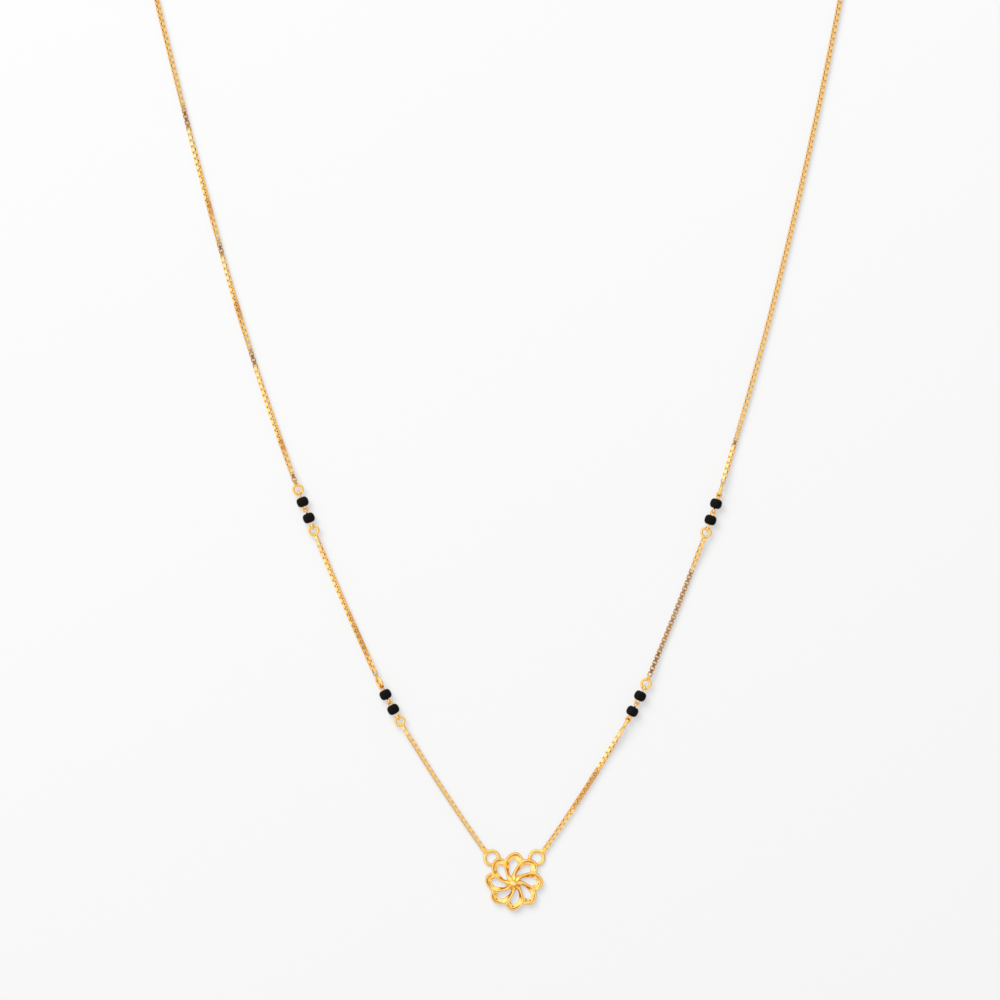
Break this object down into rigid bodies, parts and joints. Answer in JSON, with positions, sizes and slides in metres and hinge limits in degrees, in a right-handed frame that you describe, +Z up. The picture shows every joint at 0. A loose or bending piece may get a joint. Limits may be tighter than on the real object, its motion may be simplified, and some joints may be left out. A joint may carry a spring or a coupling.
{
  "type": "mangalsutra",
  "caption": "Short gold necklace laid flat: pierced flower pendant soldered to fine box chains, with paired black beads on wire links and an S-hook clasp.",
  "frame": {"origin": "middle of the flower's flat back, on the surface that the necklace lies on", "axes": "+Z up out of the surface, towards the viewer of the pendant; +Y from the pendant to the clasp at the back of the neck; +X to the right seen from above"},
  "size_m": [0.1027, 0.1918, 0.0022],
  "materials": {
    "cast_gold": "cast and diamond-cut yellow gold, bright polish",
    "chain_gold": "flat mirror-polished yellow gold strip",
    "wire_gold": "drawn yellow gold wire, polished",
    "black_glass": "opaque black glass, glossy"
  },
  "bodies": {
    "root": {"flower_pendant": "cast_gold", "right_lower_chain": "chain_gold", "right_middle_chain": "chain_gold", "right_upper_chain": "chain_gold", "left_lower_chain": "chain_gold", "left_middle_chain": "chain_gold", "left_upper_chain": "chain_gold", "right_lower_inner_ring": "wire_gold", "right_lower_inner_link": "wire_gold", "right_lower_inner_bead": "black_glass", "right_lower_outer_bead": "black_glass", "right_lower_outer_link": "wire_gold", "right_lower_outer_ring": "wire_gold", "right_upper_inner_ring": "wire_gold", "right_upper_inner_link": "wire_gold", "right_upper_inner_bead": "black_glass", "right_upper_outer_bead": "black_glass", "right_upper_outer_link": "wire_gold", "right_upper_outer_ring": "wire_gold", "left_lower_inner_ring": "wire_gold", "left_lower_inner_link": "wire_gold", "left_lower_inner_bead": "black_glass", "left_lower_outer_bead": "black_glass", "left_lower_outer_link": "wire_gold", "left_lower_outer_ring": "wire_gold", "left_upper_inner_ring": "wire_gold", "left_upper_inner_link": "wire_gold", "left_upper_inner_bead": "black_glass", "left_upper_outer_bead": "black_glass", "left_upper_outer_link": "wire_gold", "left_upper_outer_ring": "wire_gold", "right_clasp_ring": "wire_gold", "left_clasp_ring": "wire_gold", "s_hook": "wire_gold"}
  },
  "joints": []
}
